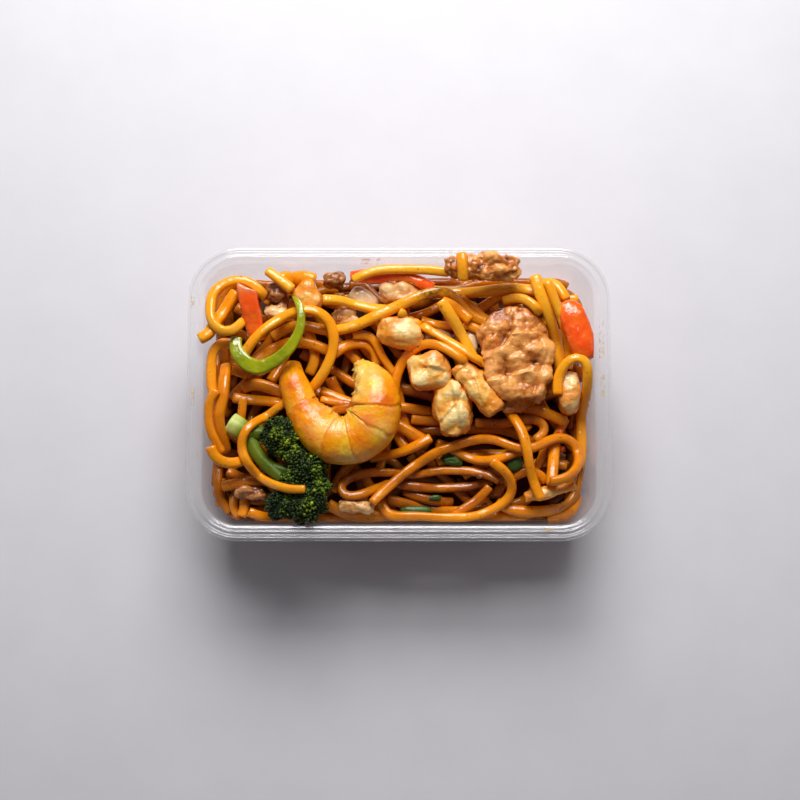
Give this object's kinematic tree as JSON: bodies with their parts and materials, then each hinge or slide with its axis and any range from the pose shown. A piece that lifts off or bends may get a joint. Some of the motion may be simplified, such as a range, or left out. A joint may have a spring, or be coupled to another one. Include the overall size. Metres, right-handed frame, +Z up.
{
  "type": "noodle takeaway box",
  "caption": "Clear rectangular takeaway tray without its lid, filled with stir-fried noodles, prawn, broccoli, chicken, beef, peppers and onion.",
  "frame": {"origin": "under the middle of the tray's flat base, on the surface that it stands on", "axes": "+X along the tray's long side, to the right in the picture; +Y across it, to the top of the picture; +Z up"},
  "size_m": [0.172, 0.12, 0.0654],
  "materials": {
    "clear_plastic": "translucent, smooth",
    "fried_noodle": "oily, brown sauce",
    "cooked_prawn": "moist",
    "broccoli_green": "fine buds",
    "fried_chicken": "seared, moist",
    "cooked_beef": "glazed",
    "cooked_pork": "glazed",
    "red_pepper_skin": "shiny skin",
    "green_pepper_skin": "shiny skin",
    "soft_onion": "soft, half clear"
  },
  "bodies": {
    "root": {"tray": "clear_plastic", "noodles": "fried_noodle", "prawn": "cooked_prawn", "broccoli": "broccoli_green", "chicken_upper": "fried_chicken", "chicken_middle": "fried_chicken", "chicken_roll": "fried_chicken", "chicken_lower": "fried_chicken", "chicken_left": "fried_chicken", "chicken_right": "fried_chicken", "chicken_strip": "fried_chicken", "beef_large": "cooked_beef", "beef_top": "cooked_beef", "beef_left_dark": "cooked_beef", "beef_left_pale": "cooked_beef", "beef_small": "cooked_beef", "beef_lower": "cooked_beef", "pork_minced": "cooked_pork", "pork_upper": "cooked_pork", "pork_lower": "cooked_pork", "red_pepper_left": "red_pepper_skin", "red_pepper_top": "red_pepper_skin", "red_pepper_right": "red_pepper_skin", "green_pepper_curl": "green_pepper_skin", "green_pepper_lower": "green_pepper_skin", "green_pepper_right": "green_pepper_skin", "onion_upper": "soft_onion", "onion_middle": "soft_onion", "onion_right": "soft_onion"}
  },
  "joints": []
}
